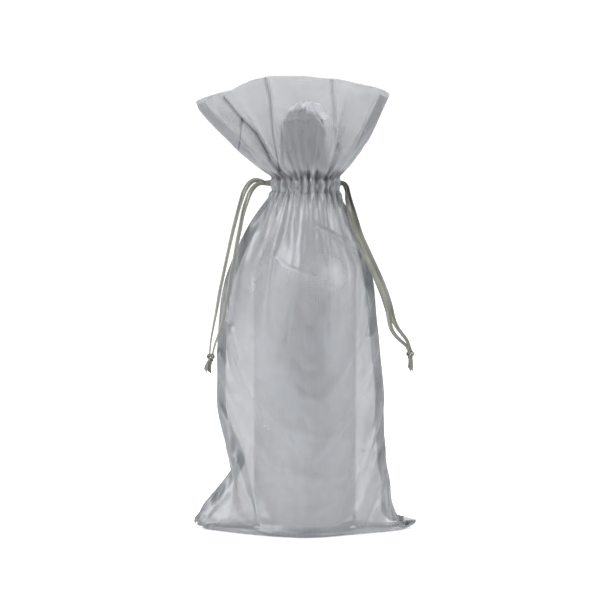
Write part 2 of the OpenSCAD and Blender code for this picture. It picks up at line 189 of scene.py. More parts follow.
class Cloth:
    """Two panels on one grid of rows and columns, as positions[panel, row, column]. Neighbours keep their cut
    distance, the sides and the bottom are sewn together, and each panel stays on its own side of the bag."""

    def __init__(self, columns, rows, shape=None):
        self.nu, self.nv = columns, rows
        self.u = np.linspace(0, 1, columns + 1)[None, :] * np.ones((rows + 1, 1))
        self.v = np.linspace(0, FLAT_H, rows + 1)[:, None] * np.ones((1, columns + 1))
        start = np.stack([start_shape(self.u, self.v, True), start_shape(self.u, self.v, False)])
        self.p = start if shape is None else shape
        self.du, self.dv = FLAT_W / columns, FLAT_H / rows
        self.free = np.ones((2, rows + 1, columns + 1, 1))
        held = (self.v >= LOW_ROW - self.dv * 0.5) & (self.v <= HIGH_ROW + self.dv * 0.5)
        self.free[:, held] = 0
        self.p[:, held] = start[:, held]
        self.goal = start.copy()
        self.old = self.p.copy()
        # a sewn seam draws its cloth up a little, most at the seam itself
        run = [way_along(smooth_line(line))[-1] / LOW_ROW for line in (LEFT_SEAM, RIGHT_SEAM)]
        near = [np.exp(-(x * FLAT_W / 9) ** 2) for x in (self.u[0], 1 - self.u[0])]
        self.up_rest = self.dv * (1 - (1 - run[0]) * near[0] - (1 - run[1]) * near[1])[None, None, :, None]

    def pull(self, axis_rows, axis_cols, rest, stiff, only_short=False):
        """Moves each pair of points, that many rows and columns apart, towards their rest distance. only_short
        leaves the pairs that are already far enough apart, which resists bending."""
        rows, cols = self.p.shape[1], self.p.shape[2]
        r0, r1 = max(0, -axis_rows), rows - max(0, axis_rows)
        c_last = cols - abs(axis_cols)
        for colour in range(2):
            near = max(abs(axis_rows), abs(axis_cols))
            if axis_cols:
                keep = [c for c in range(c_last) if (c // near) % 2 == colour]
                a_idx = (slice(None), slice(r0, r1), keep)
                b_idx = (slice(None), slice(r0 + axis_rows, r1 + axis_rows), [c + axis_cols for c in keep])
            else:
                keep = [r for r in range(rows - axis_rows) if (r // near) % 2 == colour]
                a_idx = (slice(None), keep)
                b_idx = (slice(None), [r + axis_rows for r in keep])
            a, b = self.p[a_idx], self.p[b_idx]
            wa, wb = self.free[a_idx], self.free[b_idx]
            d = b - a
            length = np.sqrt((d * d).sum(-1, keepdims=True)) + 1e-9
            off = length - rest
            if only_short:
                off = np.minimum(off, 0)
            total = wa + wb
            move = stiff * off / length * d / np.where(total > 0, total, 1)
            self.p[a_idx] = a + wa * move
            self.p[b_idx] = b - wb * move

    def sew(self):
        """Brings the two panels together along both sides and the bottom."""
        for edge in ((slice(None), 0), (slice(None), -1)):
            mid = self.p[(slice(None),) + edge].mean(axis=0)
            self.p[(slice(None),) + edge] = mid
        self.p[:, 0] = self.p[:, 0].mean(axis=0)

    def guide(self, k):
        """Draws the side seams, the bottom edge and the rim part of the way, k, to where they should lie."""
        g, p = self.goal, self.p
        for col in (0, -1):
            for axis, share in ((0, 1.0), (1, 0.3), (2, 1.0)):
                p[:, :, col, axis] += share * k * (g[:, :, col, axis] - p[:, :, col, axis])
        p[:, 0] += 0.6 * (g[:, 0] - p[:, 0])
        for axis, share in ((2, 0.4), (0, 0.15), (1, 0.05)):
            p[:, -1, :, axis] += share * k * (g[:, -1, :, axis] - p[:, -1, :, axis])

    def collide(self):
        """Keeps the cloth off the tissue and the table and each panel on its own side. True where it touches."""
        p = self.p
        rho = np.sqrt(p[..., 0] ** 2 + p[..., 1] ** 2) + 1e-9
        need = wrap_radius(p[..., 2]) + WRAP_GAP
        push = np.where((rho < need) & (p[..., 2] < WRAP_END) & (p[..., 2] > 1.0), need / rho, 1.0)
        touch = push > 1
        p[..., 0] *= push
        p[..., 1] *= push
        low = p[..., 2] < TABLE_GAP
        p[..., 2] = np.maximum(p[..., 2], TABLE_GAP)
        p[0, :, 1:-1, 1] = np.minimum(p[0, :, 1:-1, 1], -HALF_GAP)
        p[1, :, 1:-1, 1] = np.maximum(p[1, :, 1:-1, 1], HALF_GAP)
        return touch | low

    def settle(self, steps, guide, bend, cling=0.004, gravity=0.006, damp=0.9):
        """So many steps under gravity. cling draws cloth that hangs close to the bottle's body onto it, and cloth
        that touches something keeps half of its speed."""
        du, dv = self.du, self.dv
        diag = math.hypot(du, dv)
        for _ in range(steps):
            speed = (self.p - self.old) * damp
            self.old = self.p.copy()
            self.p = self.p + self.free * speed
            self.p[..., 2] -= gravity * self.free[..., 0]
            rho = np.sqrt(self.p[..., 0] ** 2 + self.p[..., 1] ** 2) + 1e-9
            zone = rise(self.p[..., 2], 15, 20) * np.clip((205 - self.p[..., 2]) / 20, 0, 1)
            inward = cling * zone * self.free[..., 0] * np.clip(1 - (rho - 38) / 12, 0, 1) / rho
            self.p[..., 0] -= inward * self.p[..., 0]
            self.p[..., 1] -= inward * self.p[..., 1]
            self.pull(0, 2, 2 * du, bend, only_short=True)
            self.pull(2, 0, 2 * dv, bend, only_short=True)
            self.pull(1, 1, diag, 0.25)
            self.pull(-1, 1, diag, 0.25)
            self.guide(guide)
            for _ in range(2):
                self.pull(0, 1, du, 1.0)
                self.pull(1, 0, self.up_rest, 1.0)
            self.sew()
            touch = self.collide()
            held = touch & (self.free[..., 0] > 0)
            self.old[held] += 0.5 * (self.p[held] - self.old[held])


def finer(grid):
    """The grid with twice as many rows and columns, by a cubic through four neighbours each way."""

    def twice(a):
        ext = np.concatenate([2 * a[:1] - a[1:2], a, 2 * a[-1:] - a[-2:-1]])
        mid = (-ext[:-3] + 9 * ext[1:-2] + 9 * ext[2:-1] - ext[3:]) / 16
        out = np.empty((2 * len(a) - 1,) + a.shape[1:])
        out[::2], out[1::2] = a, mid
        return out

    rows = np.stack([twice(p) for p in grid])
    return np.stack([np.swapaxes(twice(np.swapaxes(p, 0, 1)), 0, 1) for p in rows])


def soft_noise(shape, seed, rows, cols):
    """Smooth noise with about rows by cols bumps, from a seeded grid of values and a cubic each way."""
    rng = np.random.default_rng(seed)
    coarse = rng.standard_normal((rows + 4, cols + 4))

    def spread(a, n):
        t = np.linspace(1, a.shape[0] - 3.001, n)
        i, f = t.astype(int), (t % 1)[:, None]
        p0, p1, p2, p3 = a[i - 1], a[i], a[i + 1], a[i + 2]
        return p1 + 0.5 * f * (p2 - p0 + f * (2 * p0 - 5 * p1 + 4 * p2 - p3 + f * (3 * (p1 - p2) + p3 - p0)))

    return spread(spread(coarse, shape[0]).T, shape[1]).T


def settled_cloth():
    """Both panels, roughly bumped and settled on a coarse grid and again on a finer one. The frill goes back to
    its laid shape."""
    rough = Cloth(50, 63)
    for k, sign in ((0, -1), (1, 1)):
        shape = rough.p.shape[1:3]
        bump = soft_noise(shape, 11 + k, 9, 12) + 0.7 * soft_noise(shape, 21 + k, 18, 16)
        rough.p[k, ..., 1] += sign * 0.8 * np.abs(bump) * rough.free[k, ..., 0]
    rough.settle(350, 0.25, 0.12)
    fine = Cloth(100, 126, finer(rough.p))
    fine.settle(260, 0.15, 0.10)
    frill = fine.v >= HIGH_ROW
    fine.p[:, frill] = fine.goal[:, frill]
    return fine


def creased(p, thick, strokes, side):
    """Adds sharp folds: along each stroke, a line of x and z points, the cloth stands out by its height and
    falls away to nothing over its width, and lies that many more layers thick in a narrow line."""
    x, z = p[..., 0].copy(), p[..., 2].copy()
    for height, width, layers, line in strokes:
        pts = smooth_line(line, 60, 2.0)
        d = np.full(x.shape, 1e9)
        for a, b in zip(pts[:-1], pts[1:]):
            way_x, way_z = b - a
            share = ((x - a[0]) * way_x + (z - a[1]) * way_z) / (((b - a) ** 2).sum() + 1e-9)
            t = np.clip(share, 0, 1)
            d = np.minimum(d, np.hypot(x - a[0] - t * way_x, z - a[1] - t * way_z))
        p[..., 1] += side * height * np.exp(-np.abs(d) / width) * rise(np.abs(p[..., 1]), 1, 4)
        thick += layers * np.exp(-(d / (1.0 if layers > 0 else width)) ** 2)
    return p, thick


def crumpled(p, seed, side):
    """Crisp cloth keeps the creases of its packing: low ridges where smooth noise changes sign, on top of the
    panel and only where it hangs free."""
    large, small = soft_noise(p.shape[:2], seed, 15, 9), soft_noise(p.shape[:2], seed + 50, 34, 20)
    ridge = 0.55 * np.abs(large) + 0.35 * np.abs(small)
    n = grid_normals(p)
    n *= np.sign(n[..., 1:2] * side)
    free = rise(np.abs(p[..., 1:2]), 1, 3) * rise(p[..., 2:], 2, 6)
    away = 1 - 0.9 * np.exp(-((p[..., 2:] - (CASING_Z + CASING_TOP) / 2) / 12) ** 2)
    return p + n * ridge[..., None] * free * away


def ruched(p, thick, seed):
    """The casing: the cloth is pinched in at both rows of stitches, where it lies thickest, and puffs out between
    them in small uneven gathers."""
    v = np.linspace(0, FLAT_H, p.shape[0])[:, None]
    low, high = v - LOW_ROW, v - HIGH_ROW
    small = soft_noise(p.shape[:2], seed, 100, 46)
    uneven = np.clip(1 + 0.45 * soft_noise(p.shape[:2], seed + 5, 60, 38), 0.2, 2)
    puff = np.sin(np.pi * rise(low, 0, HIGH_ROW - LOW_ROW)) * (0.7 + 0.9 * small)
    pinch = 0.45 * (np.exp(-(low / 2.0) ** 2) + np.exp(-(high / 2.0) ** 2))
    radius = np.hypot(p[..., 0], p[..., 1]) + 1e-9
    inside = (low > -1) & (high < 1)
    wanted = np.where(inside, np.maximum(radius + puff - pinch, 20.7),
                      radius - pinch * rise(radius, 19, 3))
    p[..., :2] *= (wanted / radius)[..., None]
    upper = np.exp(-(high / np.where(high < 0, 2.6, 7.0)) ** 2)
    lower = np.exp(-(low / 3.4) ** 2)
    # the extra thickness at both stitch rows also darkens the organza's colour there: painted shade along the rows
    return p, thick + uneven * (2.2 * upper + 1.1 * lower)


def clear_of_wrap(p, gap):
    """Pushes the cloth straight out to at least that gap from the tissue."""
    radius = np.hypot(p[..., 0], p[..., 1]) + 1e-9
    out = np.where(p[..., 2] < WRAP_END, np.maximum(1, (wrap_radius(p[..., 2]) + gap) / radius), 1)
    return p * np.stack([out, out, np.ones_like(out)], -1)


def grid_normals(p):
    """Unit normals of a grid of points, from the cross product of its two directions."""
    du = np.gradient(p, axis=-2)
    dv = np.gradient(p, axis=-3)
    n = np.cross(du, dv)
    return n / (np.linalg.norm(n, axis=-1, keepdims=True) + 1e-12)


def blurred(a, passes):
    """The grid after so many passes of averaging each point with its neighbours."""
    for _ in range(passes):
        a = np.concatenate([a[:1], (a[:-2] + 2 * a[1:-1] + a[2:]) / 4, a[-1:]])
        a = np.concatenate([a[:, :1], (a[:, :-2] + 2 * a[:, 1:-1] + a[:, 2:]) / 4, a[:, -1:]], axis=1)
    return a


def crowding(p):
    """How much cloth lies over each bit of the bag's broad surface: its flat area against the area it covers
    there, so 1 where it is smooth and more where it is gathered or pleated."""
    broad = grid_normals(blurred(p, 60))
    patch = np.cross(np.gradient(p, axis=-2), np.gradient(p, axis=-3))
    flat = FLAT_W * FLAT_H / ((p.shape[0] - 1) * (p.shape[1] - 1))
    covered = np.abs((broad * patch).sum(-1))
    layers = blurred(np.clip(flat / np.clip(covered, 0.1, None), 0.7, 2.6), 1)
    up = np.linspace(0, FLAT_H, p.shape[0])[:, None]
    # how much of that counts, and how dense smooth cloth looks, at each distance up the cut
    share = np.interp(up, [0, 262, 284, LOW_ROW, HIGH_ROW, 318, FLAT_H],
                      [0.9, 0.4, 0.35, 0.5, 0.55, 0.6, 0.4])
    smooth = np.interp(up, [0, 25, 60, 130, 200, 232, 262, 303, 318, 345, FLAT_H],
                       [1.2, 1.34, 1.12, 1.12, 1.14, 0.98, 0.92, 1, 0.84, 0.72, 0.68])
    return (1 + (layers - 1) * share) * smooth


# ------------------------ meshes from grids

def grid_mesh(name, grid, size=(1.0, 1.0), wrap=False, weight=None):
    """A mesh of quads through a grid of points in metres. Its UV map runs over size, in centimetres, and wrap
    joins the last column to the first. weight is a value for each point, kept as an attribute."""
    rows, cols = grid.shape[:2]
    idx = np.arange(rows * cols).reshape(rows, cols)
    if wrap:
        idx = np.concatenate([idx, idx[:, :1]], axis=1)
    quads = np.stack([idx[:-1, :-1], idx[:-1, 1:], idx[1:, 1:], idx[1:, :-1]], axis=-1).reshape(-1, 4)
    r, c = np.meshgrid(np.arange(idx.shape[0] - 1), np.arange(idx.shape[1] - 1), indexing="ij")
    corners = [np.stack([c + i, r + j], -1) for i, j in ((0, 0), (1, 0), (1, 1), (0, 1))]
    uv = np.stack(corners, axis=2).astype(float)
    uv[..., 0] *= size[0] / (idx.shape[1] - 1)
    uv[..., 1] *= size[1] / (idx.shape[0] - 1)
    mesh = bpy.data.meshes.new(name)
    mesh.vertices.add(rows * cols)
    mesh.vertices.foreach_set("co", grid.reshape(-1).astype(np.float32))
    mesh.loops.add(quads.size)
    mesh.loops.foreach_set("vertex_index", quads.reshape(-1).astype(np.int32))
    mesh.polygons.add(len(quads))
    mesh.polygons.foreach_set("loop_start", np.arange(0, quads.size, 4, dtype=np.int32))
    mesh.update(calc_edges=True)
    mesh.polygons.foreach_set("use_smooth", np.ones(len(quads), bool))
    mesh.uv_layers.new(name="cut").data.foreach_set("uv", uv.reshape(-1).astype(np.float32))
    if weight is not None:
        kept = mesh.attributes.new("crowding", "FLOAT", "POINT")
        kept.data.foreach_set("value", weight.reshape(-1).astype(np.float32))
    mesh.validate()
    obj = bpy.data.objects.new(name, mesh)
    bpy.context.collection.objects.link(obj)
    return obj


def joined(name, parts):
    """One mesh object out of several."""
    bpy.ops.object.select_all(action="DESELECT")
    for o in parts:
        o.select_set(True)
    bpy.context.view_layer.objects.active = parts[0]
    if len(parts) > 1:
        bpy.ops.object.join()
    parts[0].name = parts[0].data.name = name
    return parts[0]


def smooth_route(points, count):
    """Evenly spaced points on a Catmull-Rom curve through a route."""
    p = np.array(points, float)
    ext = np.concatenate([2 * p[:1] - p[1:2], p, 2 * p[-1:] - p[-2:-1]])
    t = np.linspace(0, len(p) - 1 - 1e-6, 40 * len(p))
    i, f = t.astype(int), (t % 1)[:, None]
    a, b, c, d = ext[i], ext[i + 1], ext[i + 2], ext[i + 3]
    line = b + 0.5 * f * (c - a + f * (2 * a - 5 * b + 4 * c - d + f * (3 * (b - c) + d - a)))
    s = way_along(line)
    even = np.linspace(0, s[-1], count)
    return np.stack([np.interp(even, s, line[:, k]) for k in range(3)], axis=1)


def strip(name, line, across, width, thick, cut=0.0, curl=0.0):
    """A flat ribbon carried along a line: at each point a flat rounded section, as wide as width along across,
    closed at both ends. curl cups it, and cut slants its far end. width may change from point to point."""
    n = len(line)
    width = np.broadcast_to(np.asarray(width, float), (n,))
    ahead = np.gradient(line, axis=0)
    ahead = unit(ahead)
    wide = unit(across - (across * ahead).sum(1, keepdims=True) * ahead)
    up = np.cross(ahead, wide)
    places = np.array([-1.0, -0.5, 0.0, 0.5, 1.0, 1.0, 0.5, 0.0, -0.5, -1.0])
    sides = np.array([1.0, 1, 1, 1, 1, -1, -1, -1, -1, -1])
    w = places[None, :] * width[:, None] / 2
    h = sides * thick / 2 + curl * (places ** 2 - 0.4)
    ring = line[:, None] + wide[:, None] * w[:, :, None] + up[:, None] * h[None, :, None]
    if cut:
        share = np.clip((np.arange(n) - n + 4) / 3, 0, 1)[:, None, None]
        ring = ring + share * cut * places[None, :, None] * ahead[:, None]
    caps = [ring.mean(axis=1, keepdims=True)[k] + (ring[k] - ring[k].mean(axis=0)) * 0.02 for k in (0, -1)]
    ring = np.concatenate([caps[0][None], ring, caps[1][None]])
    length = way_along(line)[-1]
    obj = grid_mesh(name, ring[:, ::-1] * MM, size=(2 * width.max() / 10, length / 10), wrap=True)
    return close_ends(obj)


def close_ends(obj, weld=0.0):
    """Joins points closer than weld, fills the open ends of a tube and turns every face outwards."""
    b = bmesh.new()
    b.from_mesh(obj.data)
    if weld:
        bmesh.ops.remove_doubles(b, verts=b.verts, dist=weld)
    rim = [e for e in b.edges if e.is_boundary]
    if rim:
        bmesh.ops.holes_fill(b, edges=rim, sides=0)
    bmesh.ops.recalc_face_normals(b, faces=b.faces)
    b.to_mesh(obj.data)
    b.free()
    return obj


# ------------------------ finishes

class Value:
    """A shader socket that takes part in Python arithmetic: each operator adds the Math node it needs."""

    def __init__(self, mat, socket):
        self.mat, self.socket = mat, socket

    def _math(self, operation, a, b):
        return self.mat.node("ShaderNodeMath", {"operation": operation}, {0: a, 1: b})

    def __add__(self, o): return self._math("ADD", self, o)
    def __radd__(self, o): return self._math("ADD", o, self)
    def __sub__(self, o): return self._math("SUBTRACT", self, o)
    def __rsub__(self, o): return self._math("SUBTRACT", o, self)
    def __mul__(self, o): return self._math("MULTIPLY", self, o)
    def __rmul__(self, o): return self._math("MULTIPLY", o, self)
    def __pow__(self, o): return self._math("POWER", self, o)
    def __rpow__(self, o): return self._math("POWER", o, self)


class Finish:
    """A material with one Principled shader. node adds any other node: its type, its settings, its inputs."""

    def __init__(self, name, **constants):
        self.material = bpy.data.materials.new(name)
        self.material.use_nodes = True
        self.tree = self.material.node_tree
        self.shader = self.tree.nodes["Principled BSDF"]
        for key, value in constants.items():
            socket = self.shader.inputs[key.replace("_", " ")]
            socket.default_value = (*value, 1.0) if isinstance(value, tuple) and len(value) == 3 and \
                len(socket.default_value) == 4 else value

    def node(self, kind, settings=None, inputs=None, output=0):
        made = self.tree.nodes.new(kind)
        for key, value in (settings or {}).items():
            setattr(made, key, value)
        for key, value in (inputs or {}).items():
            if isinstance(value, Value):
                self.tree.links.new(value.socket, made.inputs[key])
            else:
                made.inputs[key].default_value = value
        return Value(self, made.outputs[output])

    def feed(self, **links):
        """Links each value to the shader's input of that name."""
        for key, value in links.items():
            self.tree.links.new(value.socket, self.shader.inputs[key.replace("_", " ")])
        return self

    def cut(self, x=1.0, y=1.0):
        """The piece's own UV map, stretched."""
        uv = self.node("ShaderNodeUVMap", {"uv_map": "cut"})
        return self.node("ShaderNodeVectorMath", {"operation": "MULTIPLY"}, {0: uv, 1: (x, y, 1.0)})

    def place(self):
        """The point's own place on the object, in metres."""
        return self.node("ShaderNodeTexCoord", output="Object")

    def noise(self, vector, scale, detail=2.0, rough=0.5):
        return self.node("ShaderNodeTexNoise", None,
                         {"Vector": vector, "Scale": scale, "Detail": detail, "Roughness": rough})

    def clamp(self, value):
        return self.node("ShaderNodeClamp", None, {0: value})

    def ease(self, value, low, high):
        """A smooth step from 0 at low to 1 at high, where low may be the larger."""
        return self.node("ShaderNodeMapRange", {"interpolation_type": "SMOOTHSTEP"}, {0: value, 1: low, 2: high})

    def mix(self, factor, a, b):
        """A colour between a and b. Either may come from another node."""
        a, b = (c if isinstance(c, Value) else (*c, 1.0) for c in (a, b))
        return self.node("ShaderNodeMix", {"data_type": "RGBA"}, {0: factor, 6: a, 7: b}, output=2)

    def bump(self, height, strength, distance):
        return self.node("ShaderNodeBump", None, {"Height": height, "Strength": strength, "Distance": distance})


GATHER_SHADE = (0.085, 0.085, 0.09)     # painted shade: the colour organza is darkened to where its gathers crowd and shade each other


def organza_finish(name, layers=1.0, colour=(0.258, 0.257, 0.270), cover=0.53):
    """Sheer crisp cloth: slubs along both thread directions thicken it a little, and its pleats a lot; where it
    crowds thickest its colour is darkened as painted shade.
    """
    f = Finish(name, Roughness=0.44, Metallic=0.42, Specular_IOR_Level=0.6, Sheen_Weight=0.15, Sheen_Roughness=0.4)
    warp = f.noise(f.cut(14.0, 0.5), 1.0, 2.0)
    weft = f.noise(f.cut(0.5, 14.0), 1.0, 2.0)
    cloud = f.noise(f.cut(0.45, 0.3), 1.0, 2.0)
    slub = (warp + weft) * 0.5 - 0.5
    dense = f.node("ShaderNodeAttribute", {"attribute_name": "crowding"}, output=2)
    amount = dense * layers * (1.0 + slub * 0.3 + (cloud - 0.5) * 0.5)
    f.feed(Alpha=1.0 - (1.0 - cover) ** amount)
    cool = (colour[0] * 1.12, colour[1] * 1.22, colour[2] * 1.22)
    even = f.mix(f.clamp(cloud * 2.0 - 0.5), colour, cool)
    # painted shade: past a crowding of 2, in gathers, deep creases and the casing's stitch rows, the colour darkens
    # towards the gather shade
    f.feed(Base_Color=f.mix(f.ease(dense, 2.0, 4.3), even, GATHER_SHADE))
    crinkle = f.noise(f.cut(0.8, 0.5), 1.0, 3.0, 0.5)
    f.feed(Normal=f.bump(crinkle, 0.5, 0.0012))
    return f.material


def satin_finish():
    """Satin ribbon: light and dark streaks along it, a painted sheen in its colour, over fine ribs across it."""
    f = Finish("satin_ribbon", Roughness=0.36, Metallic=0.3, Sheen_Weight=0.2, Sheen_Roughness=0.3)
    ribs = f.node("ShaderNodeTexWave", {"wave_type": "BANDS", "bands_direction": "Y"},
                  {"Vector": f.cut(), "Scale": 9.0, "Distortion": 0.4, "Detail": 1.0}, output=1)
    # painted sheen: light and dark streaks along the ribbon, put into its colour
    painted_sheen = f.noise(f.cut(5.0, 0.5), 1.0, 3.0)
    f.feed(Base_Color=f.mix(f.clamp(painted_sheen * 2.4 - 0.7), (0.095, 0.1, 0.08), (0.25, 0.255, 0.215)))
    f.feed(Normal=f.bump(ribs, 0.2, 0.0002))
    return f.material


def tissue_finish():
    """Thin white paper, greyed down the bottle by painted shade, with painted reflection darkening a band down the
    middle of the body and painted light paling it from the shoulder up; darkest where it hugs the dark neck, partly
    the neck showing through and partly painted shade inside the frill, and palest in the loose crumpled crown above
    it."""
    f = Finish("tissue_paper", Roughness=0.7, Specular_IOR_Level=0.25)
    place = f.place()
    stretched = f.node("ShaderNodeVectorMath", {"operation": "MULTIPLY"}, {0: place, 1: (1.0, 1.0, 0.22)})
    patch = f.noise(stretched, 26.0, 2.0)
    across = f.node("ShaderNodeSeparateXYZ", None, {0: place}, output=0)
    up = f.node("ShaderNodeSeparateXYZ", None, {0: place}, output=2)
    middle = f.ease(f.node("ShaderNodeMath", {"operation": "ABSOLUTE"}, {0: across + 0.001}), 0.027, 0.008)
    high, under = f.ease(up, 0.055, 0.125), f.ease(up, 0.208, 0.178)
    # painted shade greys the body; a darker band down its middle is a painted reflection, and it pales from the
    # shoulder up as painted light
    shade = f.clamp(patch * 1.6 - 0.75 - 0.25 * (1.0 - under) + 0.75 * middle * high * under)
    body = f.mix(shade, (0.74, 0.735, 0.745), (0.40, 0.39, 0.405))
    ragged = up + (f.noise(place, 90.0, 3.0) - 0.5) * 0.012
    neck = f.ease(ragged, 0.250, 0.266)
    above = f.node("ShaderNodeMath", {"operation": "MAXIMUM"}, {0: (ragged - 0.290) * 51.0, 1: 0.0})
    dome = ((across + 0.002) * 60.0) ** 2.0 + above ** 2.0
    inside = f.ease(dome, 1.25, 0.8)
    pale = f.mix(f.ease(ragged, 0.262, 0.302), body, (0.82, 0.84, 0.87))
    # the dark at the neck: partly the dark neck showing through the paper, partly painted shade inside the frill
    f.feed(Base_Color=f.mix(neck * inside * (1.1 - 0.45 * patch), pale, (0.16, 0.15, 0.155)))
    f.feed(Normal=f.bump(f.noise(place, 160.0, 4.0, 0.6), 0.3, 0.0006))
    return f.material


def glass_finish():
    f = Finish("green_bottle_glass", Roughness=0.05, Base_Color=(0.05, 0.12, 0.05), Transmission_Weight=0.6, IOR=1.5)
    f.feed(Normal=f.bump(f.noise(f.place(), 40.0), 0.05, 0.0005))
    return f.material


def speckled(name, scale, dark, light, detail=2.0, **look):
    """A plain finish whose colour drifts a little from place to place."""
    f = Finish(name, **look)
    f.feed(Base_Color=f.mix(f.noise(f.place(), scale, detail), dark, light))
    return f.material


organza = organza_finish("organza")
facing_organza = organza_finish("facing_organza", layers=0.2)
doubled_organza = organza_finish("seam_organza", layers=2.2, colour=(0.16, 0.163, 0.172))
satin, tissue = satin_finish(), tissue_finish()
# the thread is dark grey partly as painted shade along the casing's stitch rows
thread = speckled("sewing_thread_row_shade", 900.0, (0.10, 0.105, 0.11), (0.17, 0.175, 0.18), Roughness=0.6)
cork = speckled("cork", 500.0, (0.42, 0.27, 0.15), (0.68, 0.5, 0.32), 4.0, Roughness=0.9)
foil = speckled("capsule_foil", 90.0, (0.14, 0.02, 0.04), (0.22, 0.03, 0.06), Metallic=0.7, Roughness=0.35)


def wear(obj, material, body="bag", replaces=()):
    """Gives an object its material and its body, and says which nodes it stands in for."""
    obj.data.materials.clear()
    obj.data.materials.append(material)
    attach(obj, body)
    if replaces:
        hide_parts(*replaces)
    return obj


# ------------------------ the cloth
cloth = settled_cloth()

# Folds pressed into the front as (height, width, extra layers, line of x and z points).
FRONT_CREASES = [
    (-1.4, 1.6, 2.2, [(-58.5, 319), (-45.5, 303.4), (-34.3, 292.3), (-25, 273.7)]),
    (-0.9, 1.3, 1.8, [(-45.5, 303), (-47, 290), (-48.5, 281)]),
    (-1.3, 1.5, 2.4, [(-28.7, 334), (-25.2, 320), (-23.1, 292.3), (-18.5, 266)]),
    (-1.2, 1.4, 1.6, [(19.6, 332), (21.5, 305), (21.5, 292), (18.6, 273.7)]),
    (-0.9, 2.4, 1.2, [(22, 297), (22.5, 283)]), (1.8, 3.0, 0, [(38, 326), (41, 310), (42, 292)]),
    (-0.7, 1.3, 1.3, [(24, 284), (31, 276), (23, 264)]),
    (-0.8, 1.4, 0.9, [(-17, 300), (-14, 268)]), (-0.8, 1.4, 0.9, [(60, 312), (42, 286), (27, 266)]),
    (3.0, 4.2, 0.15, [(-29, 213), (-24, 205), (-16, 199), (-4, 195), (8, 192)]),
    (2.0, 6.5, -0.45, [(20, 196), (23, 188)]), (-1.6, 2.4, 0.3, [(-27, 206), (-19, 200), (-4, 197)]),
    (2.2, 1.8, 0.2, [(8, 227), (20, 220), (32, 212), (44, 202)]),
    (-1.2, 1.2, 1.3, [(9, 229), (21, 222.5), (33, 215)]), (1.2, 1.6, 0.4, [(-36, 222), (-42, 205), (-48, 190)]),
    (1.3, 1.6, 0.6, [(-50, 54), (-42, 31), (-33, 8)]), (-1.1, 1.6, 0.7, [(-46, 60), (-39, 36), (-35, 12)]),
    (1.4, 1.8, 0.5, [(-51, 52), (-62, 24), (-74, 6)]), (1.0, 1.8, 0.4, [(-60, 110), (-52, 82), (-45, 58)]),
    (1.4, 1.6, 0.5, [(56, 148), (48, 143), (40, 145)]), (1.2, 1.5, 0.5, [(57, 112), (49, 108), (43, 100)]),
    (1.5, 1.8, 0.3, [(58, 58), (51, 56), (44, 60)]), (1.0, 1.6, 0.5, [(60, 40), (52, 24), (44, 6)]),
    (1.2, 1.6, 0.4, [(40, 200), (47, 170), (50, 150)]), (1.0, 1.5, 0.4, [(-62, 158), (-54, 150), (-48, 128)]),
]
sheets = finer(cloth.p)
# below the casing most of the solver's small folds are smoothed away, away from the table and the seams
calm = np.stack([blurred(p, 110) for p in sheets])
height, out = sheets[..., 2:], np.abs(sheets[..., 1:2])
still = np.interp(height, [20, 190, 225, 238, 246, 250], [0.75, 0.86, 0.85, 0.78, 0.45, 0])
still = still * rise(height, 4, 12) * rise(out, 1, 3)
sheets = sheets * (1 - still) + calm * still
sheets = clear_of_wrap(sheets, 0.9)
flat_u = np.linspace(0, 1, sheets.shape[2])
flat_v = np.linspace(0, FLAT_H, sheets.shape[1])
dense = [crowding(p) for p in sheets]
sheets = np.stack([crumpled(sheets[0], 61, -1), crumpled(sheets[1], 62, 1)])
sheets[0], dense[0] = creased(sheets[0], dense[0], FRONT_CREASES, -1)
# the left of the frill is pushed together, so that more cloth lies there
pushed = np.exp(-((flat_u - 0.15) / 0.13) ** 2) * rise(flat_v[:, None], 304, 14)
dense[0] *= 1 + 0.5 * pushed
# the right corner lies flat in a single fold
corner = rise(sheets[..., 0], 58, 6) * rise(24 - sheets[..., 2], 0, 10)
dense = [w * (1 - 0.45 * c) for w, c in zip(dense, corner)]
for k in (0, 1):
    sheets[k], dense[k] = ruched(sheets[k], dense[k], 71 + k)
sheets = clear_of_wrap(sheets, 0.5)
facing_low = int(np.searchsorted(flat_v, LOW_ROW))


def facing_points(panel, back, seed):
    """The facing lies just inside the frill, from the fold at the rim down to the lower stitches, and runs
    behind the ribbons in the casing, where it is a smaller ring of its own gathers."""
    p = panel[facing_low:]
    v = flat_v[facing_low:, None]
    side = 1 if back else -1
    n = grid_normals(panel)[facing_low:]
    inward = np.sign((n * p * np.array([-1, -1, 0])).sum(-1).mean())
    below_rim = np.clip((FLAT_H - v) / 6, 0, 1)
    gap = (1.3 + 0.3 * soft_noise(p.shape[:2], seed, 8, 14) + 0.6 * np.cos(2 * np.pi * 28 * flat_u)) * below_rim
    near = p + inward * n * np.clip(gap, 0.6 * below_rim, 2.4)[..., None]
    near[..., 1] = side * np.maximum(near[..., 1] * side, 0.15)
    angle = np.pi * flat_u[None, :]
    radius = 18.65 + 0.4 * np.cos(1.9 * gather_phase(angle / np.pi)) + 0 * v
    ring = np.stack([-radius * np.cos(angle), side * (0.4 + (radius - 0.4) * np.sin(angle)), p[..., 2]], -1)
    hold = np.where(v <= HIGH_ROW + 1, 1.0, np.exp(-(v - HIGH_ROW - 1) / 6))[..., None]
    return near * (1 - hold) + ring * hold


for k, side in ((0, "front"), (1, "back")):
    p, w = (sheets[k], dense[k]) if k == 0 else (sheets[k][:, ::-1], dense[k][:, ::-1])
    o = grid_mesh(side + "_panel_cloth", p * MM, (16.5, 38.1), weight=w)
    wear(o, organza, replaces=(side + "_panel",))
    q = facing_points(sheets[k], k, 31 + k)
    w = dense[k][facing_low:]
    if k:
        q, w = q[:, ::-1], w[:, ::-1]
    f = grid_mesh(side + "_facing_cloth", q[::-1] * MM, (16.5, 9.0), weight=w[::-1])
    wear(f, facing_organza, replaces=(side + "_facing",))


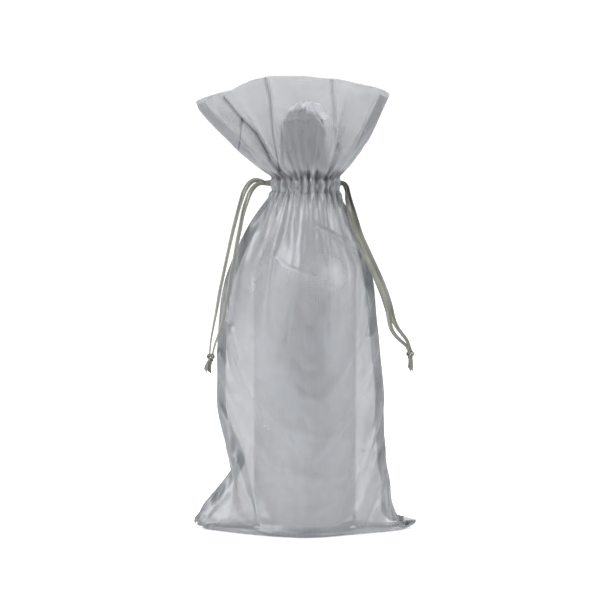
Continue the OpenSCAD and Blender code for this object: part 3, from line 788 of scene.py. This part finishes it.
def seam_turning(name, column, low, high):
    """The turning of a side seam between two heights up the cut: it lies between the panels, square to the seam
    and a little wavy, narrower towards the casing."""
    rows = (flat_v >= low) & (flat_v <= high)
    edge, v = sheets[0, rows, column], flat_v[rows]
    run = blurred(np.gradient(edge, axis=0)[:, None] * np.ones((1, 2, 1)), 4)[:, 0]
    inner = np.stack([-run[:, 2], 0 * v, run[:, 0]], -1) * np.sign(edge[:, :1])
    inner = unit(inner)
    wide = TURNING * np.interp(v, [0, 20, 262, 287, 312, 332], [0.3, 1, 1, 0.5, 0.3, 1])
    share = np.linspace(0, 1, 7)
    grid = edge[:, None] + inner[:, None] * (wide[:, None] * share)[..., None]
    grid[..., 1] += 0.35 * np.sin(v / 11)[:, None] * share
    grid[..., 2] = np.maximum(grid[..., 2], 0.7)
    return grid_mesh(name, grid * MM, (TURNING / 10, (high - low) / 10), weight=np.ones(grid.shape[:2]))


for side, column in (("left", 0), ("right", -1)):
    parts = [seam_turning(f"{side}_turning_{i}", column, low, high)
             for i, (low, high) in enumerate(((10, 287), (313, 379)))]
    wear(joined(side + "_seam_turning", parts), doubled_organza, replaces=(side + "_side_seam",))
# the bottom seam's turning lies on the table behind the front panel
turned_up = 0.8 * sheets[0, :7] + 0.2 * sheets[1, :7]
turned_up[..., 2] += 0.4
turned_up = turned_up[:, 6:-6]
wear(grid_mesh("bottom_seam_turning", turned_up * MM, (16.0, 0.5), weight=np.ones(turned_up.shape[:2])),
     doubled_organza, replaces=("bottom_seam",))


STITCH = 2.6                       # from the start of one stitch to the start of the next


def stitches(name, v, replaces):
    """A row of short stitches round the casing, each a rounded stub that lies on the cloth."""
    row = int(np.argmin(np.abs(flat_v - v)))
    loop = np.concatenate([sheets[0, row], sheets[1, row, ::-1][1:]])
    loop = loop + 0.12 * unit(loop * np.array([1, 1, 0]))
    s = way_along(loop)
    count = int(s[-1] / STITCH)
    starts = np.arange(count) * s[-1] / count
    at = starts[:, None] + np.linspace(0, 1.9, 6)[None, :]
    pts = np.stack([np.interp(at, s, loop[:, k]) for k in range(3)], -1)
    tangent = np.gradient(pts, axis=1)
    tangent /= np.linalg.norm(tangent, axis=-1, keepdims=True) + 1e-9
    up = np.array([0, 0, 1.0])
    side = np.cross(tangent, up)
    side /= np.linalg.norm(side, axis=-1, keepdims=True) + 1e-9
    a = np.linspace(0, 2 * np.pi, 7)[:-1]
    fat = 0.2 * np.array([0.15, 0.8, 1, 1, 0.8, 0.15])[None, :, None, None]
    cos, sin = (turn[None, None, :, None] for turn in (np.cos(a), np.sin(a)))
    ring = pts[:, :, None] + fat * (cos * side[:, :, None] + sin * up)
    idx = np.arange(count * 6 * 6).reshape(count, 6, 6)
    nxt = np.roll(idx, -1, axis=2)
    quads = np.stack([idx[:, :-1], nxt[:, :-1], nxt[:, 1:], idx[:, 1:]], -1).reshape(-1, 4)
    mesh = bpy.data.meshes.new(name)
    caps = [list(map(int, c)) for c in np.concatenate([idx[:, 0, ::-1], idx[:, -1]])]
    mesh.from_pydata((ring.reshape(-1, 3) * MM).tolist(), [], quads.tolist() + caps)
    obj = bpy.data.objects.new(name, mesh)
    bpy.context.collection.objects.link(obj)
    close_ends(obj)
    mesh.polygons.foreach_set("use_smooth", np.ones(len(mesh.polygons), bool))
    return wear(obj, thread, replaces=(replaces,))


stitches("upper_casing_stitches", HIGH_ROW, "upper_casing_stitching")
stitches("lower_casing_stitches", LOW_ROW, "lower_casing_stitching")


# ------------------------ the wrapped bottle

def round_noise(rows, columns, seed, bumps, overlap=40):
    """Smooth noise whose last column runs on into its first."""
    wave = soft_noise((rows, columns + overlap), seed, *bumps)
    blend = np.linspace(0, 1, overlap)
    wave[:, :overlap] = wave[:, :overlap] * blend + wave[:, columns:] * (1 - blend)
    return wave[:, :columns]


def tissue_paper():
    """The paper as rows of points up the bottle: the wrap's outline, soft creases down the body, tight pleats at
    the waist and a torn, crumpled top."""
    n_angle, n_up = 240, 300
    z = np.concatenate([np.linspace(2.2, 300, n_up), np.linspace(300.5, 314, 26)])
    a = np.linspace(0, 2 * np.pi, n_angle, endpoint=False)
    zz, aa = np.meshgrid(z, a, indexing="ij")
    r = wrap_radius(zz)
    foot = rise(zz, 1.5, 6.5)
    r = r - 5.5 * (1 - np.sqrt(1 - (1 - foot) ** 2))
    wave, small = round_noise(len(z), n_angle, 5, (26, 16)), round_noise(len(z), n_angle, 6, (90, 60))
    up = rise(zz, 195, 40)
    r = r - 0.25 * np.abs(wave) * (0.4 + 1.2 * up) - 0.16 * np.abs(small) * (0.15 + 1.4 * up)
    pleat = rise(zz, 215, 25) * np.clip((318 - zz) / 40, 0.25, 1)
    r = r - 0.55 * pleat * (1 + np.cos(17 * aa + 2.0 * np.sin(3 * aa) + 0.02 * zz))
    top = rise(zz, 296, 14)
    r = r * (1 + 0.10 * top * np.sin(5 * aa + 1) + 0.07 * top * np.sin(11 * aa)) - 0.6 * top * np.abs(small)
    tear = top ** 2 * (1.6 * np.sin(4 * aa + 0.6) + 1.3 * np.sin(9 * aa) + 0.9 * small)
    r = np.maximum(r, 0.3)
    return np.stack([r * np.cos(aa), r * np.sin(aa), zz + tear - 1.2 * top], -1)


paper = grid_mesh("tissue_paper_wrap", tissue_paper() * MM, (24, 32), wrap=True)
close_ends(paper)
wear(paper, tissue, replaces=("tissue_wrap",))

# ------------------------ the ribbons, in metres from the same routes
RIBBON_W, RIBBON_T = 6.0, 0.35
ROUTES = {
    "left_front": [
        (-29.5, -1.2, 256), (-33, -1.4, 256), (-36.5, -1.6, 254), (-40, -2, 249.5), (-43, -2.5, 242),
        (-45.5, -3.5, 234), (-47.5, -5, 224), (-49.5, -8, 214), (-51.5, -11.5, 203), (-54, -14.5, 191),
        (-56, -16.5, 179), (-58, -16.5, 168), (-60.5, -14, 157), (-63.5, -10, 146), (-66.5, -5, 137),
        (-68.4, -0.5, 129.5)],
    "left_back": [
        (-29.5, 1.2, 256), (-33, 1.6, 257.5), (-37, 2, 258), (-41, 2, 255.5), (-45, 1.8, 249),
        (-48, 1.5, 240), (-50.5, 1.5, 231), (-53.5, 1.5, 219), (-56.5, 1.5, 206), (-59.5, 1.5, 192),
        (-62.5, 1.5, 178), (-65, 1.5, 164), (-67.5, 1.5, 151), (-69.5, 1, 140), (-70.5, 0.5, 129.5)],
    "right_front": [
        (27, -1.2, 256), (28.6, -2.2, 255.2), (29.8, -4, 251.8), (30.4, -8, 246), (32.2, -13.4, 237.8),
        (34.6, -16, 228.6), (37.2, -17, 219.8), (41.6, -14.8, 210), (47.5, -9.8, 197.4), (51.8, -7, 188),
        (56.8, -5, 175.7), (60.6, -4, 164), (61.8, -3.5, 156), (63, -3, 150), (66.2, -2.6, 144.2),
        (70.6, -2.2, 139.8), (74.6, -1.7, 136), (76.8, -1.2, 131.5)],
    "right_back": [
        (27, 1.2, 256), (29, 0.8, 255.4), (31.2, -0.8, 252.2), (32.6, -4, 246), (34.6, -9, 237.8),
        (37.2, -11.4, 228.6), (39.8, -13, 219.8), (43.8, -11, 210), (49.5, -6.2, 197.4), (53.8, -4, 188),
        (58.8, -2, 175.7), (62.6, -1, 164), (64.8, -0.5, 156), (67.6, 0, 150), (71.4, 0.5, 144.8),
        (75.2, 1, 139.5), (78, 1.2, 131.5)],
}
KNOTS = {"left": (-69.5, 0, 127.5), "right": (77.5, 0, 129.5)}
TURNS = {"left": (0.1, 0.42), "right": (-0.05, 0.07)}


def knot(name, at):
    """An overhand knot in flat ribbon: a three-lobed closed curve with a flattened, slightly rolled section."""
    t = np.linspace(0, 2 * np.pi, 97)[:-1]
    line = np.stack([np.sin(t) + 2 * np.sin(2 * t), np.cos(t) - 2 * np.cos(2 * t), -1.7 * np.sin(3 * t)], -1) * 0.88
    line = line[:, [0, 2, 1]] * np.array([0.95, 0.85, 1.15])
    tangent = unit(np.roll(line, -1, 0) - np.roll(line, 1, 0))
    out = line / (np.linalg.norm(line, axis=1, keepdims=True) + 1e-9)
    side = unit(np.cross(tangent, out))
    up = np.cross(side, tangent)
    a = np.linspace(0, 2 * np.pi, 13)[:-1]
    cos, sin = np.cos(a)[None, :, None], np.sin(a)[None, :, None]
    ring = line[:, None] + 1.25 * cos * side[:, None] + 0.6 * sin * up[:, None]
    grid = np.concatenate([ring, ring[:1]]) + np.array(at)
    obj = grid_mesh(name, grid * MM, (1.5, 4.0), wrap=True)
    return close_ends(obj, weld=1e-6)


for side, sign in (("left", -1), ("right", 1)):
    body = side + "_ribbon"
    at = np.array(KNOTS[side])
    tied = wear(knot(side + "_ribbon_knot", at), satin, body, (side + "_knot",))
    tails = []
    for k, turn in enumerate(TURNS[side]):
        steps = np.linspace(0, 1, 14)[:, None]
        drop = np.array([-math.sin(turn), 0, -math.cos(turn)])
        y = (k - 0.5) * 1.2
        line = at + np.array([0, y, -1.5]) + drop * 9.5 * steps + np.array([0.5 * sign, 0, 0]) * np.sin(3 * steps)
        across = np.tile([1, 0.6 - 1.2 * k, 0], (14, 1))
        tails.append(strip(f"{side}_tail_{k}", line, across, 3.0, RIBBON_T, cut=1.3, curl=0.5))
    tails = wear(joined(side + "_ribbon_cut_ends", tails), satin, body, (side + "_ribbon_ends",))
    for k, strand in enumerate(("front", "back")):
        route = ROUTES[f"{side}_{strand}"]
        line = smooth_route(route, 90)
        turned = np.clip(np.linspace(0, 1, 90) / 0.45, 0, 1)[:, None]
        last_way = np.array([-0.4, 0.9, 0.15]) if side == "left" else np.array([0.85, 0.45, 0.3])
        across = np.array([0, 0, 1.0]) * (1 - turned) + last_way * turned
        # creased small where it leaves the slot and where the knot grips it
        run = np.linspace(0, 1, 90)
        width = RIBBON_W * np.interp(run, [0, 0.12, 0.4, 0.72, 0.86, 1], [0.5, 0.6, 0.85, 0.85, 0.5, 0.38])
        o = strip(f"{side}_{strand}_ribbon", line, across, width, RIBBON_T, curl=0.3)
        wear(o, satin, body, (f"{side}_{strand}_strand",))
    # the loop inside the casing starts and ends at the slot, and the two loops lie one inside the other
    half_gap = 0.16
    turn = np.linspace(half_gap, 2 * np.pi - half_gap, 120) + (np.pi if side == "left" else 0)
    ring_r = 19.3 + 0.15 * np.sin(23 * turn)
    if side == "right":
        ring_r = 20.0 + 0.3 * np.sin(21 * turn + 2 * np.sin(3 * turn))
    loop = np.stack([ring_r * np.cos(turn), ring_r * np.sin(turn), 256 + 0.3 * np.sin(4 * turn)], -1)
    parts = [strip(side + "_loop", loop, np.tile([0, 0, 1.0], (120, 1)), RIBBON_W, RIBBON_T)]
    for y in (-1, 1):
        end = ROUTES[f"{side}_{'front' if y < 0 else 'back'}"][0][0] + 0.6 * sign
        lead = smooth_route([(sign * 19.2, y * 3.2, 256), (sign * 21.5, y * 1.6, 256), (sign * 25, y * 0.8, 256),
                             (end, y * 1.15, 256)], 24)
        upright = np.tile([0, 0, 1.0], (24, 1))
        parts.append(strip(f"{side}_lead_{y}", lead, upright, np.linspace(RIBBON_W, 3.1, 24), RIBBON_T))
    wear(joined(side + "_casing_ribbon", parts), satin, "bag", (side + "_ribbon_loop", side + "_ribbon_lead"))

for node, finish in (("bottle", glass_finish()), ("cork", cork), ("foil_capsule", foil)):
    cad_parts[node].data.materials.clear()
    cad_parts[node].data.materials.append(finish)


# ------------------------ camera, room and lights
scene = bpy.context.scene
cam = bpy.data.objects.new("camera", bpy.data.cameras.new("camera"))
bpy.context.collection.objects.link(cam)
scene.camera = cam
LENS, SENSOR = 150.0, 36.0
TILT = math.radians(6.0)
SEEN = 0.441                       # how much of the scene the view takes in at the bag
AIM = Vector((-0.0037, 0, 0.170))
cam.data.lens = LENS
cam.data.sensor_width = SENSOR
cam.location = AIM + Vector((0, -math.cos(TILT), math.sin(TILT))) * (SEEN * LENS / SENSOR)
cam.rotation_euler = (math.pi / 2 - TILT, 0, 0)
cam.data.clip_end = 50

world = bpy.data.worlds.new("studio")
scene.world = world
world.use_nodes = True
# a white backdrop behind the bag and a dimmer room in front of it
sky = world.node_tree
way = sky.nodes.new("ShaderNodeTexCoord")
split = sky.nodes.new("ShaderNodeSeparateXYZ")
blend = sky.nodes.new("ShaderNodeMapRange")
tone = sky.nodes.new("ShaderNodeMix")
tone.data_type = "RGBA"
blend.interpolation_type = "SMOOTHSTEP"
blend.inputs[1].default_value, blend.inputs[2].default_value = -0.3, 0.75
tone.inputs[6].default_value, tone.inputs[7].default_value = (0.42, 0.43, 0.45, 1), (1.12, 1.12, 1.12, 1)
sky.links.new(way.outputs["Generated"], split.inputs[0])
sky.links.new(split.outputs[1], blend.inputs[0])
sky.links.new(blend.outputs[0], tone.inputs[0])
sky.links.new(tone.outputs[2], sky.nodes["Background"].inputs[0])
ends = (-20.0, 20.0)               # the floor reaches well past the view on every side
floor_grid = np.array([[(x, y, 0.0) for x in ends] for y in ends])
floor = grid_mesh("floor", floor_grid)
paper_white = Finish("floor_white", Roughness=0.9, Base_Color=(0.9, 0.9, 0.9), Emission_Color=(1, 1, 1),
                     Emission_Strength=0.45)
floor.data.materials.append(paper_white.material)


def area_light(name, place, size, power):
    """A square light aimed at the middle of the bag."""
    light = bpy.data.lights.new(name, "AREA")
    light.shape, light.size, light.energy = "SQUARE", size, power
    lamp = bpy.data.objects.new(name, light)
    bpy.context.collection.objects.link(lamp)
    lamp.location = place
    lamp.rotation_euler = (Vector((0, 0, 0.15)) - Vector(place)).to_track_quat("-Z", "Y").to_euler()


area_light("key", (-1.3, -1.2, 1.1), 0.8, 22)
area_light("strip", (1.5, -0.5, 0.7), 0.5, 8)
area_light("top", (0.1, 0.4, 1.5), 0.9, 14)
scene.view_settings.view_transform = "Standard"
scene.cycles.transparent_max_bounces = 32
